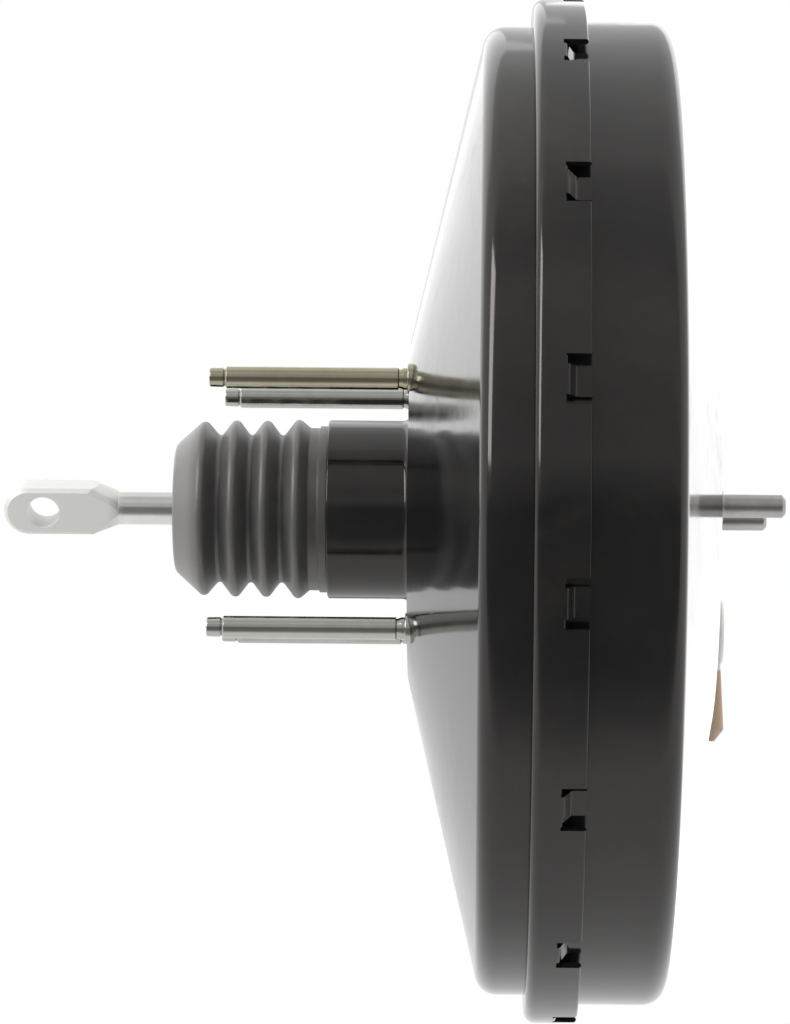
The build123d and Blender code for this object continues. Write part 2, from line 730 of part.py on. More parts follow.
def make_poppet_valve():
    """Rubber poppet: a sealing face, a thin sleeve and the bead at its rear end."""
    front = poppet_front()
    back = front - POPPET_FACE
    end = front - POPPET_LENGTH
    bead = end + POPPET_BEAD
    sleeve = POPPET_SLEEVE + POPPET_SLEEVE_WALL
    bead_radius = TUBE_BORE - CUP_SHEET - 2 * FIT_CLEARANCE
    return turned(
        (front, POPPET_INNER),
        (front, POPPET_OUTER, WASHER_SHEET),
        (back, POPPET_OUTER),
        (back, sleeve),
        (bead, sleeve),
        (bead, bead_radius),
        (end, bead_radius),
        (end, POPPET_SLEEVE),
        (back, POPPET_SLEEVE),
        (back, POPPET_INNER),
    )


def make_poppet_washer():
    """Steel washer that backs the poppet's sealing face."""
    back = poppet_front() - POPPET_FACE
    inner = POPPET_SLEEVE + POPPET_SLEEVE_WALL + FIT_CLEARANCE
    start = back - WASHER_SHEET
    return turned((start, inner), (start, POPPET_OUTER), (back, POPPET_OUTER), (back, inner))


def make_poppet_spring():
    """Small spring between the washer and the poppet's bead."""
    start = poppet_front() - POPPET_LENGTH + POPPET_BEAD + FIT_CLEARANCE
    end = poppet_front() - POPPET_FACE - WASHER_SHEET - FIT_CLEARANCE
    radius = (POPPET_SLEEVE + POPPET_SLEEVE_WALL + POPPET_OUTER) / 2
    return coil(start, end, radius, radius, POPPET_WIRE, POPPET_TURNS)


def cup_back():
    """Rear face of the poppet retainer."""
    return poppet_front() - POPPET_LENGTH - SLIDE_CLEARANCE - CUP_SHEET


def make_poppet_retainer():
    """Steel cup pressed in the tube that holds the poppet's bead."""
    back = cup_back()
    outer = TUBE_BORE - FIT_CLEARANCE
    return turned(
        (back, POPPET_SLEEVE),
        (back, outer, CUP_SHEET),
        (back + CUP_DEPTH, outer),
        (back + CUP_DEPTH, outer - CUP_SHEET),
        (back + CUP_SHEET, outer - CUP_SHEET),
        (back + CUP_SHEET, POPPET_SLEEVE),
    )


def make_air_filter():
    """Foam ring in the tube's open end."""
    start = TUBE_END_X + RING_GAP
    outer = TUBE_BORE - FIT_CLEARANCE
    end = start + FILTER_LENGTH
    return turned((start, FILTER_HOLE), (start, outer), (end, outer), (end, FILTER_HOLE))


def make_air_silencer():
    """Felt ring in front of the filter."""
    start = TUBE_END_X + RING_GAP + FILTER_LENGTH + RING_GAP
    outer = TUBE_BORE - FIT_CLEARANCE
    end = start + SILENCER_LENGTH
    return turned((start, FILTER_HOLE), (start, outer), (end, outer), (end, FILTER_HOLE))


def make_input_rod():
    """Input rod: ball, neck, shank and a flat eye rolled about the axis."""
    taper = INPUT_ROD_RADIUS - ROD_NECK_RADIUS
    shank = turned(
        (BALL_X, 0),
        (BALL_X, ROD_NECK_RADIUS),
        (ROD_NECK_END_X, ROD_NECK_RADIUS),
        (ROD_NECK_END_X - taper, INPUT_ROD_RADIUS),
        (EYE_TAPER_X, INPUT_ROD_RADIUS),
        (EYE_TAPER_X, 0),
    )
    shoulder = turned(
        (EYE_TAPER_X, 0),
        (EYE_TAPER_X, INPUT_ROD_RADIUS),
        (EYE_TAPER_X - EYE_TAPER, EYE_WIDTH / 2),
        (EYE_HOLE_X, EYE_WIDTH),
        (EYE_HOLE_X, 0),
    )
    length = EYE_TAPER_X - EYE_HOLE_X
    plate = Pos(EYE_HOLE_X + length / 2, 0, 0) * Box(length, EYE_THICKNESS, EYE_WIDTH)
    head_x = EYE_HOLE_X - EYE_END + EYE_WIDTH / 2
    rounded = Pos(head_x, 0, 0) * Rot(X=90) * Cylinder(EYE_WIDTH / 2, EYE_THICKNESS)
    link_middle = (head_x + EYE_HOLE_X) / 2
    link = Pos(link_middle, 0, 0) * Box(EYE_HOLE_X - head_x, EYE_THICKNESS, EYE_WIDTH)
    eye = (plate & shoulder) + rounded + link
    faces = eye.faces().filter_by(Axis.Y)
    rim = [edge for face in faces for edge in face.edges() if (edge @ 0.5).X < EYE_TAPER_X - EYE_TAPER]
    eye = chamfer(rim, EYE_BEVEL)
    eye -= Pos(EYE_HOLE_X, 0, 0) * Rot(X=90) * Cylinder(EYE_HOLE_RADIUS, 2 * EYE_WIDTH)
    ball = Pos(BALL_X, 0, 0) * Sphere(BALL_RADIUS)
    return Rot(X=EYE_ROLL) * (shank + eye) + ball


def make_rod_spring_seat():
    """Washer staked on the input rod that takes the rod's return spring."""
    hole = INPUT_ROD_RADIUS + FIT_CLEARANCE
    end = SPRING_SEAT_X + SPRING_SEAT
    return turned(
        (SPRING_SEAT_X, hole), (SPRING_SEAT_X, SPRING_SEAT_RADIUS), (end, SPRING_SEAT_RADIUS), (end, hole)
    )


def make_rod_return_spring():
    """Spring between the seat on the input rod and the poppet retainer."""
    start = SPRING_SEAT_X + SPRING_SEAT + FIT_CLEARANCE
    end = cup_back() - FIT_CLEARANCE
    small = SPRING_SEAT_RADIUS - 2 * ROD_SPRING_WIRE
    large = TUBE_BORE - 4 * ROD_SPRING_WIRE
    return coil(start, end, small, large, ROD_SPRING_WIRE, ROD_SPRING_TURNS)


def make_dust_boot():
    """Rubber bellows from the neck's mouth to the input rod."""
    face = [
        (BOOT_NOSE_X, INPUT_ROD_RADIUS + BOOT_HOLE_CLEARANCE),
        (BOOT_NOSE_X, BOOT_VALLEY_RADIUS - BOOT_NOSE_DROP, BOOT_SOFT),
        (BOOT_FIRST_CREST_X, BOOT_VALLEY_RADIUS + BOOT_FIRST_FOLD, 2 * BOOT_SOFT),
    ]
    for crest in range(1, BOOT_CRESTS):
        crest_x = BOOT_FIRST_CREST_X + crest * BOOT_PITCH
        face.append((crest_x - BOOT_PITCH / 2, BOOT_VALLEY_RADIUS, BOOT_SOFT))
        face.append((crest_x, BOOT_VALLEY_RADIUS + BOOT_FOLD, 2 * BOOT_SOFT))
    cuff = NECK_RADIUS - REAR_SHEET - FIT_CLEARANCE
    shoulder = cuff - BOOT_SHOULDER_STEP
    face.append((BOOT_SHOULDER_X, shoulder, BOOT_SOFT))
    face.append((BOOT_CUFF_X, shoulder))
    face.append((BOOT_CUFF_X + FIT_CLEARANCE, cuff))
    face.append((BOOT_CUFF_X + BOOT_CUFF_LENGTH, cuff))
    return pressed(face, BOOT_WALL)


def at_valve(shape):
    """Carry a shape from the booster's axis to the check valve's place."""
    return Pos(0, VALVE_Y, VALVE_Z) * shape


def make_check_valve_grommet():
    """Rubber grommet clipped in the front shell."""
    outside = VALVE_PAD_X
    inside = VALVE_PAD_X - FRONT_SHEET
    bore = VALVE_STEM_RADIUS + FIT_CLEARANCE
    neck = GROMMET_HOLE - FIT_CLEARANCE
    return at_valve(
        turned(
            (inside - GROMMET_FLANGE, bore),
            (inside - GROMMET_FLANGE, GROMMET_RADIUS - VALVE_WALL, VALVE_WALL / 2),
            (inside, GROMMET_RADIUS - VALVE_WALL / 2),
            (inside, neck),
            (outside, neck),
            (outside, GROMMET_RADIUS, VALVE_WALL / 2),
            (outside + GROMMET_FLANGE, GROMMET_RADIUS, VALVE_WALL / 2),
            (outside + GROMMET_FLANGE, bore),
        )
    )


def check_seat():
    """Face of the seat that the check disc closes."""
    return VALVE_PAD_X + GROMMET_FLANGE + VALVE_WALL


def make_check_valve_body():
    """Plastic valve body: stem in the grommet, round chamber and a flared nipple pointing down."""
    face = VALVE_PAD_X + GROMMET_FLANGE
    end = face + VALVE_BODY_LENGTH
    barb = VALVE_STEM_RADIUS + VALVE_WALL / 2
    body = turned(
        (VALVE_STEM_X, 0),
        (VALVE_STEM_X, VALVE_STEM_RADIUS),
        (VALVE_STEM_X + VALVE_WALL, barb),
        (VALVE_STEM_X + VALVE_WALL, VALVE_STEM_RADIUS),
        (face, VALVE_STEM_RADIUS),
        (face, VALVE_BODY_RADIUS),
        (end, VALVE_BODY_RADIUS, VALVE_WALL),
        (end, 0),
    )
    chamber = turned(
        (check_seat(), 0), (check_seat(), VALVE_CHAMBER), (end - VALVE_WALL, VALVE_CHAMBER), (end - VALVE_WALL, 0)
    )
    root = -VALVE_BODY_RADIUS + VALVE_WALL
    tip = -NIPPLE_LENGTH
    nipple = turned(
        (root, 0),
        (root, NIPPLE_RADIUS),
        (tip + NIPPLE_TIP_LENGTH, NIPPLE_BARB_RADIUS, VALVE_WALL / 2),
        (tip, NIPPLE_TIP_RADIUS, VALVE_WALL / 4),
        (tip, 0),
    )
    passage = rod_along_x(NIPPLE_BORE, tip - 1, 0)
    down = Pos(NIPPLE_X, 0, 0) * Rot(Y=NIPPLE_LEAN - 90)
    body = body + down * nipple - chamber - down * passage
    return at_valve(body - rod_along_x(VALVE_STEM_BORE, VALVE_STEM_X - 1, check_seat()))


def make_check_valve_disc():
    """Light disc that lifts off its seat while the engine draws."""
    start = check_seat() + FIT_CLEARANCE
    return at_valve(rod_along_x(CHECK_DISC_RADIUS, start, start + CHECK_DISC))


def make_check_valve_spring():
    """Light spring that holds the check disc on its seat."""
    start = check_seat() + FIT_CLEARANCE + CHECK_DISC + FIT_CLEARANCE
    end = VALVE_PAD_X + GROMMET_FLANGE + VALVE_BODY_LENGTH - VALVE_WALL - FIT_CLEARANCE
    radius = CHECK_DISC_RADIUS - 2 * CHECK_WIRE
    return at_valve(coil(start, end, radius, radius, CHECK_WIRE, CHECK_TURNS))


PIECES = {
    "rear_shell": make_rear_shell,
    "front_shell": make_front_shell,
    "firewall_studs": make_firewall_studs,
    "rear_reinforcement": make_rear_reinforcement,
    "master_cylinder_studs": make_master_cylinder_studs,
    "front_reinforcement": make_front_reinforcement,
    "tail_bearing": make_tail_bearing,
    "tail_seal": make_tail_seal,
    "seal_retainer": make_seal_retainer,
    "dust_boot": make_dust_boot,
    "check_valve_grommet": make_check_valve_grommet,
    "check_valve_body": make_check_valve_body,
    "check_valve_disc": make_check_valve_disc,
    "check_valve_spring": make_check_valve_spring,
    "diaphragm": make_diaphragm,
    "diaphragm_plate": make_diaphragm_plate,
    "return_spring": make_return_spring,
    "valve_body": make_valve_body,
    "reaction_disc": make_reaction_disc,
    "output_rod": make_output_rod,
    "output_rod_tip": make_output_rod_tip,
    "rod_retainer": make_rod_retainer,
    "air_valve_plunger": make_plunger,
    "stop_key": make_stop_key,
    "poppet_valve": make_poppet_valve,
    "poppet_washer": make_poppet_washer,
    "poppet_spring": make_poppet_spring,
    "poppet_retainer": make_poppet_retainer,
    "air_filter": make_air_filter,
    "air_silencer": make_air_silencer,
    "input_rod": make_input_rod,
    "rod_spring_seat": make_rod_spring_seat,
    "rod_return_spring": make_rod_return_spring,
}

os.makedirs("parts", exist_ok=True)
for name, make in PIECES.items():
    shape = make()
    if isinstance(shape, list):
        shape = Compound(children=shape)
    export_step(shape, os.path.join("parts", name + ".step"))
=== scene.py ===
"""Vacuum brake booster: black enamelled shells, rubber bellows, plated studs and input rod."""
import math

import bmesh
import bpy
from mathutils import Euler, Matrix, Vector


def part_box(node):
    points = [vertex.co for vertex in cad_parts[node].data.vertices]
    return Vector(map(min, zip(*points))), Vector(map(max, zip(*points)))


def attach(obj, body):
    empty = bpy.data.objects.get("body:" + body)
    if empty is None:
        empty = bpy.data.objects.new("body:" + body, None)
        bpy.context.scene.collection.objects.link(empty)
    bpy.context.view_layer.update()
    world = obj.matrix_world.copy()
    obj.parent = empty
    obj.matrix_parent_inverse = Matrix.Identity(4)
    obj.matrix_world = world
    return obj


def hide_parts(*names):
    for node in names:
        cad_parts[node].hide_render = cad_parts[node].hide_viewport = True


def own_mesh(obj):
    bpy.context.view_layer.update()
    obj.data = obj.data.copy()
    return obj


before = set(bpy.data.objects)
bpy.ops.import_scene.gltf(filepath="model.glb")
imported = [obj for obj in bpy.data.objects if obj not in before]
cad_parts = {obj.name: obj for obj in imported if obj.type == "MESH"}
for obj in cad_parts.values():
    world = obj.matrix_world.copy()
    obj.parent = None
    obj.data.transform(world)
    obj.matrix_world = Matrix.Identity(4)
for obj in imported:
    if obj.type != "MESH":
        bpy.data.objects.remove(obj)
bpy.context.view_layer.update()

# Camera
# The booster was photographed side on from a little over a metre away, three degrees from below,
# with the picture cropped off centre and the object turned half a degree clockwise in it.
VIEW_DISTANCE = 1.107
VIEW_ELEVATION = -3.0
VIEW_TURN = 0.35
VIEW_X = 0.0267
VIEW_ROLL = 0.5
LENS = 140.8
SHIFT_X = -0.109
SHIFT_Y = -0.001
camera_data = bpy.data.cameras.new("camera")
camera_data.sensor_width = 36
camera_data.lens = LENS
camera_data.shift_x = SHIFT_X
camera_data.shift_y = SHIFT_Y
camera_data.clip_start = 0.05
camera_data.clip_end = 50
camera = bpy.data.objects.new("camera", camera_data)
bpy.context.scene.collection.objects.link(camera)
rise = math.radians(VIEW_ELEVATION)
turn = math.radians(VIEW_TURN)
level_distance = VIEW_DISTANCE * math.cos(rise)
camera.location = (
    VIEW_X - level_distance * math.sin(turn),
    -level_distance * math.cos(turn),
    VIEW_DISTANCE * math.sin(rise),
)
upright = Euler((math.radians(90 - VIEW_ELEVATION), 0, -turn)).to_matrix()
camera.rotation_mode = "QUATERNION"
camera.rotation_quaternion = (upright @ Matrix.Rotation(math.radians(VIEW_ROLL), 3, "Z")).to_quaternion()
bpy.context.scene.camera = camera
bpy.context.scene.view_settings.view_transform = "Standard"


# Studio
# A white sweep all round, seen by the camera and mirrored by gloss and metal, and dimmer on the
# photographer's side from the floor to just above level. A tall softbox on the left draws the bright
# lines along the rolled edges, and the lit backdrop shows in the two cones.
WHITE = (1, 1, 1, 1)
PAPER = (0.86, 0.86, 0.86, 1)
STUDIO_FILL = 0.62
FRONT_EDGE = 0.05
FRONT_FULL = 0.22
FRONT_LEVELS = (
    (-90, 1.0), (-76, 1.0), (-62, 0.95), (-50, 0.48), (-38, 0.24), (-2, 0.20), (9, 0.58),
    (22, 0.50), (33, 0.66), (45, 0.70), (60, 0.60), (72, 0.66), (90, 0.95),
)


def add_node(tree, kind, **settings):
    """Shader node with its properties and, by name, the values of its sockets."""
    node = tree.nodes.new("ShaderNode" + kind)
    for key, value in settings.items():
        if hasattr(node, key):
            setattr(node, key, value)
        else:
            node.inputs[key.replace("_", " ")].default_value = value
    return node


world = bpy.data.worlds.new("studio")
bpy.context.scene.world = world
world.use_nodes = True
tree = world.node_tree
tree.nodes.clear()
place = add_node(tree, "TexCoord")
parts = add_node(tree, "SeparateXYZ")
towards = add_node(tree, "Math", operation="MULTIPLY")
towards.inputs[1].default_value = -1
tilt = add_node(tree, "Math", operation="ARCTAN2")
share = add_node(tree, "MapRange")
share.inputs["From Min"].default_value = -math.pi / 2
share.inputs["From Max"].default_value = math.pi / 2
levels = add_node(tree, "ValToRGB")
ramp = levels.color_ramp
while len(ramp.elements) < len(FRONT_LEVELS):
    ramp.elements.new(0.5)
for element, (angle, level) in zip(ramp.elements, FRONT_LEVELS):
    element.position = (angle + 90) / 180
    element.color = (level, level, level, 1)
facing = add_node(tree, "MapRange", interpolation_type="SMOOTHSTEP")
facing.inputs["From Min"].default_value = FRONT_EDGE
facing.inputs["From Max"].default_value = FRONT_FULL
front = add_node(tree, "Mix", data_type="RGBA")
front.inputs["A"].default_value = WHITE
mirrored = add_node(tree, "Background")
plain = add_node(tree, "Background", Color=WHITE, Strength=STUDIO_FILL)
white = add_node(tree, "Background", Color=WHITE)
path = add_node(tree, "LightPath")
gloss_mix = add_node(tree, "MixShader")
camera_mix = add_node(tree, "MixShader")
seen = add_node(tree, "Math", operation="MAXIMUM")
world_out = add_node(tree, "OutputWorld")
tree.links.new(place.outputs["Generated"], parts.inputs[0])
tree.links.new(parts.outputs["Y"], towards.inputs[0])
tree.links.new(parts.outputs["Z"], tilt.inputs[0])
tree.links.new(towards.outputs[0], tilt.inputs[1])
tree.links.new(tilt.outputs[0], share.inputs["Value"])
tree.links.new(share.outputs["Result"], levels.inputs["Fac"])
tree.links.new(towards.outputs[0], facing.inputs["Value"])
tree.links.new(facing.outputs["Result"], front.inputs["Factor"])
tree.links.new(levels.outputs["Color"], front.inputs["B"])
tree.links.new(front.outputs["Result"], mirrored.inputs["Color"])
tree.links.new(path.outputs["Is Glossy Ray"], gloss_mix.inputs["Fac"])
tree.links.new(plain.outputs[0], gloss_mix.inputs[1])
tree.links.new(mirrored.outputs[0], gloss_mix.inputs[2])
tree.links.new(path.outputs["Is Camera Ray"], seen.inputs[0])
tree.links.new(path.outputs["Is Transmission Ray"], seen.inputs[1])
tree.links.new(seen.outputs[0], camera_mix.inputs["Fac"])
tree.links.new(gloss_mix.outputs[0], camera_mix.inputs[1])
tree.links.new(white.outputs[0], camera_mix.inputs[2])
tree.links.new(camera_mix.outputs[0], world_out.inputs["Surface"])

for lamp_name, spot, width, height, power, mirrored_too in (
    ("top_lamp", (0.05, -0.25, 1.3), 1.2, 1.2, 9.0, False),
    ("left_lamp", (-1.02, -0.52, 0.56), 0.42, 0.9, 8.0, True),
    ("back_lamp", (0.5, 1.3, 0.6), 1.0, 1.0, 5.0, False),
    ("backdrop_left", (-0.93, 1.5, 0.92), 1.9, 1.9, 7.5, True),
    ("backdrop_right", (0.70, 1.5, 0.35), 1.3, 1.3, 5.0, True),
):
    lamp_data = bpy.data.lights.new(lamp_name, "AREA")
    lamp_data.shape = "RECTANGLE"
    lamp_data.size = width
    lamp_data.size_y = height
    lamp_data.energy = power
    lamp = bpy.data.objects.new(lamp_name, lamp_data)
    lamp.location = spot
    lamp.rotation_euler = (-Vector(spot)).to_track_quat("-Z", "Y").to_euler()
    lamp.visible_camera = False
    lamp.visible_glossy = mirrored_too
    lamp.visible_diffuse = not lamp_name.startswith("backdrop")
    bpy.context.scene.collection.objects.link(lamp)

FLOOR_Z = -0.19
FLOOR_REACH = 40.0
floor_mesh = bpy.data.meshes.new("floor")
floor_corners = [(-1, -1), (1, -1), (1, 1), (-1, 1)]
floor_mesh.from_pydata(
    [(x * FLOOR_REACH, y * FLOOR_REACH, FLOOR_Z) for x, y in floor_corners], [], [(0, 1, 2, 3)]
)
floor = bpy.data.objects.new("floor", floor_mesh)
bpy.context.scene.collection.objects.link(floor)
floor.visible_glossy = False
floor_paper = bpy.data.materials.new("white_paper_sweep")
floor_paper.use_nodes = True
tree = floor_paper.node_tree
tree.nodes.clear()
paper = add_node(tree, "BsdfDiffuse", Color=PAPER)
glow = add_node(tree, "Emission", Color=WHITE, Strength=1.0)
path = add_node(tree, "LightPath")
paper_mix = add_node(tree, "MixShader")
paper_out = add_node(tree, "OutputMaterial")
tree.links.new(path.outputs["Is Camera Ray"], paper_mix.inputs["Fac"])
tree.links.new(paper.outputs[0], paper_mix.inputs[1])
tree.links.new(glow.outputs[0], paper_mix.inputs[2])
tree.links.new(paper_mix.outputs[0], paper_out.inputs["Surface"])
floor_mesh.materials.append(floor_paper)


# Black enamel
# Both shells are dipped in a thick gloss enamel. It has a faint orange peel and a few soft smudges
# and specks of brown-grey dust that dull the shine, and its gloss is a little warm.
GRAIN_RATIO = 6.0
SPECK_RATIO = 14.0
MARK_START = 0.62
MARK_FULL = 0.8
MARK_SPREAD = 0.5
RELIEF_DEPTH = 0.0004


def new_group(name, inputs, outputs):
    """Empty shader node group with named float inputs and outputs, as (group, entry, exit)."""
    group = bpy.data.node_groups.new(name, "ShaderNodeTree")
    for label, value in inputs.items():
        socket = group.interface.new_socket(label, in_out="INPUT", socket_type="NodeSocketFloat")
        socket.default_value = value
    for label in outputs:
        group.interface.new_socket(label, in_out="OUTPUT", socket_type="NodeSocketFloat")
    return group, group.nodes.new("NodeGroupInput"), group.nodes.new("NodeGroupOutput")


def use_group(tree, group, **values):
    """Places a node group in a material with its own values."""
    node = tree.nodes.new("ShaderNodeGroup")
    node.node_tree = group
    for label, value in values.items():
        node.inputs[label.replace("_", " ")].default_value = value
    return node


# Fine relief of a coat or a moulding: a soft wave and a finer grain, as one height
relief, entry, leave = new_group("surface_relief", {"Scale": 400.0, "Fine": 0.3}, ["Height"])
spot_here = add_node(relief, "TexCoord")
wave = add_node(relief, "TexNoise", Detail=2.0)
grain = add_node(relief, "TexNoise", Detail=4.0)
finer = add_node(relief, "Math", operation="MULTIPLY")
finer.inputs[1].default_value = GRAIN_RATIO
weigh = add_node(relief, "Math", operation="MULTIPLY_ADD")
relief.links.new(spot_here.outputs["Object"], wave.inputs["Vector"])
relief.links.new(spot_here.outputs["Object"], grain.inputs["Vector"])
relief.links.new(entry.outputs["Scale"], wave.inputs["Scale"])
relief.links.new(entry.outputs["Scale"], finer.inputs[0])
relief.links.new(finer.outputs[0], grain.inputs["Scale"])
relief.links.new(grain.outputs["Fac"], weigh.inputs[0])
relief.links.new(entry.outputs["Fine"], weigh.inputs[1])
relief.links.new(wave.outputs["Fac"], weigh.inputs[2])
relief.links.new(weigh.outputs[0], leave.inputs["Height"])

# Handling marks: a mask of broad smudges broken by small specks, from 0 clean to 1 dull
marks, entry, leave = new_group("handling_marks", {"Scale": 18.0, "Cover": 0.5}, ["Mask"])
spot_here = add_node(marks, "TexCoord")
cloud = add_node(marks, "TexNoise", Detail=6.0, Roughness=0.65, Distortion=0.6)
speck_size = add_node(marks, "Math", operation="MULTIPLY")
speck_size.inputs[1].default_value = SPECK_RATIO
speck = add_node(marks, "TexNoise", Detail=3.0)
joined = add_node(marks, "Math", operation="MULTIPLY")
low_edge = add_node(marks, "Math", operation="SUBTRACT")
low_edge.inputs[0].default_value = MARK_START
edge = add_node(marks, "MapRange", interpolation_type="SMOOTHSTEP")
edge.inputs["From Max"].default_value = MARK_FULL
spread = add_node(marks, "Math", operation="MULTIPLY")
spread.inputs[1].default_value = MARK_SPREAD
marks.links.new(spot_here.outputs["Object"], cloud.inputs["Vector"])
marks.links.new(spot_here.outputs["Object"], speck.inputs["Vector"])
marks.links.new(entry.outputs["Scale"], cloud.inputs["Scale"])
marks.links.new(entry.outputs["Scale"], speck_size.inputs[0])
marks.links.new(speck_size.outputs[0], speck.inputs["Scale"])
marks.links.new(entry.outputs["Cover"], spread.inputs[0])
marks.links.new(spread.outputs[0], low_edge.inputs[1])
marks.links.new(low_edge.outputs[0], edge.inputs["From Min"])
marks.links.new(cloud.outputs["Fac"], edge.inputs["Value"])
marks.links.new(edge.outputs["Result"], joined.inputs[0])
marks.links.new(speck.outputs["Fac"], joined.inputs[1])
marks.links.new(joined.outputs[0], leave.inputs["Mask"])


def finish_material(
    name, colour, roughness, marked_colour, marked_roughness, scale, fine, bump, cover, **sockets
):
    """Material whose colour and roughness shift with handling marks over a fine relief."""
    material = bpy.data.materials.new(name)
    material.use_nodes = True
    tree = material.node_tree
    shader = tree.nodes["Principled BSDF"]
    for label, value in sockets.items():
        shader.inputs[label.replace("_", " ")].default_value = value
    mark = use_group(tree, marks, Cover=cover)
    tint = add_node(tree, "Mix", data_type="RGBA")
    tint.inputs["A"].default_value = (*colour, 1)
    tint.inputs["B"].default_value = (*marked_colour, 1)
    dull = add_node(tree, "MapRange")
    dull.inputs["To Min"].default_value = roughness
    dull.inputs["To Max"].default_value = marked_roughness
    rough_height = use_group(tree, relief, Scale=scale, Fine=fine)
    bumps = add_node(tree, "Bump", Strength=bump, Distance=RELIEF_DEPTH)
    tree.links.new(mark.outputs["Mask"], tint.inputs["Factor"])
    tree.links.new(tint.outputs["Result"], shader.inputs["Base Color"])
    tree.links.new(mark.outputs["Mask"], dull.inputs["Value"])
    tree.links.new(dull.outputs["Result"], shader.inputs["Roughness"])
    tree.links.new(rough_height.outputs["Height"], bumps.inputs["Height"])
    tree.links.new(bumps.outputs["Normal"], shader.inputs["Normal"])
    return material


black_enamel = finish_material(
    "black_enamel", (0.006, 0.006, 0.0064), 0.085, (0.022, 0.020, 0.018), 0.30,
    scale=260, fine=0.05, bump=0.03, cover=0.5, IOR=1.5, Specular_Tint=(1.0, 0.95, 0.92, 1.0),
)


# Rear shell
# Deep drawn from 1.5 mm sheet: a neck, the firewall flat, a cone, a wall and the wider rim band.
# Sixteen tongues are lanced in the band's free edge and pressed in behind the front shell's flange.
MM = 0.001
REAR_SHEET = 1.5
NECK_RADIUS = 24.6
NECK_LENGTH = 22.5
NECK_FILLET = 2.0
FLAT_RADIUS = 46.8
FLAT_CORNER = 3.0
CONE_SLOPE = math.tan(math.radians(76.76))
REAR_WALL_RADIUS = 132.75
REAR_CORNER = 6.0
BAND_STEP_X = 32.4
BAND_RADIUS = 140.3
BAND_CORNER = 3.0
BAND_END_X = 46.5
BAND_EDGE = 0.7
LANCE_COUNT = 16
LANCE_FIRST_ANGLE = 10.3
LANCE_X = 40.0
LANCE_DEPTH = 3.0
LANCE_HALF = 6.4
LANCE_TONGUE = 0.6
BEND_START = 0.7
BEND_END = 2.7
BEND_ROUND = 1.2
PLAIN_COLUMNS = 9
TONGUE_COLUMNS = 5


def rounded(corners, closed=True, steps=7):
    """Points along an outline whose corners (x, r, fillet radius) are rounded by arcs."""
    points = []
    count = len(corners)
    for index, corner in enumerate(corners):
        here = Vector(corner[:2])
        fillet = corner[2] if len(corner) > 2 else 0
        at_end = not closed and index in (0, count - 1)
        if fillet <= 0 or at_end:
            points.append(here)
            continue
        back = (Vector(corners[index - 1][:2]) - here).normalized()
        ahead = (Vector(corners[(index + 1) % count][:2]) - here).normalized()
        half = back.angle(ahead) / 2
        centre = here + (back + ahead).normalized() * (fillet / math.sin(half))
        first = here + back * (fillet / math.tan(half)) - centre
        sweep = (math.pi - 2 * half) * (1 if back.cross(ahead) < 0 else -1)
        for step in range(steps + 1):
            points.append(centre + Matrix.Rotation(sweep * step / steps, 2) @ first)
    return points


def supported(points, closed=True, reach=0.4, longest=12.0):
    """Adds points near the ends of long runs, so that flats stay flat under smooth shading."""
    result = []
    pairs = list(zip(points, points[1:] + points[:1])) if closed else list(zip(points, points[1:]))
    for start, end in pairs:
        result.append(start)
        length = (end - start).length
        if length > 4 * reach:
            middle = max(1, round(length / longest))
            shares = [reach / length] + [k / middle for k in range(1, middle)] + [1 - reach / length]
            result.extend(start.lerp(end, share) for share in shares)
    if not closed:
        result.append(points[-1])
    return result


def sheet_outline(points, thickness):
    """Closed outline of pressed sheet: the given face, and the other face on the right of its run."""
    shifted = []
    for index, point in enumerate(points):
        normals = []
        for a, b in ((index - 1, index), (index, index + 1)):
            if a >= 0 and b < len(points):
                run = (Vector(points[b][:2]) - Vector(points[a][:2])).normalized()
                normals.append(Vector((run.y, -run.x)))
        first, last = normals[0], normals[-1]
        side = Vector(point[:2]) + (first + last) * (thickness / (1 + first.dot(last)))
        fillet = point[2] if len(point) > 2 else 0
        if fillet > 0:
            fillet += thickness if first.cross(last) > 0 else -thickness
        shifted.append((side.x, side.y, max(fillet, 0)))
    return list(points) + shifted[::-1]


def add_piece(name, vertices, faces, body, material, sharp=40):
    """Links a mesh in metres as a piece that rides on a body, smooth except at sharp edges."""
    mesh = bpy.data.meshes.new(name)
    mesh.from_pydata(vertices, [], faces)
    work = bmesh.new()
    work.from_mesh(mesh)
    bmesh.ops.recalc_face_normals(work, faces=work.faces)
    work.to_mesh(mesh)
    work.free()
    mesh.polygons.foreach_set("use_smooth", [True] * len(mesh.polygons))
    mesh.set_sharp_from_angle(angle=math.radians(sharp))
    mesh.materials.append(material)
    piece = bpy.data.objects.new(name, mesh)
    bpy.context.scene.collection.objects.link(piece)
    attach(piece, body)
    return piece


def around(x, r, angle):
    """Point in metres at an axial place, a radius and an angle from -Y up towards +Z."""
    return (x * MM, -r * math.cos(angle) * MM, r * math.sin(angle) * MM)


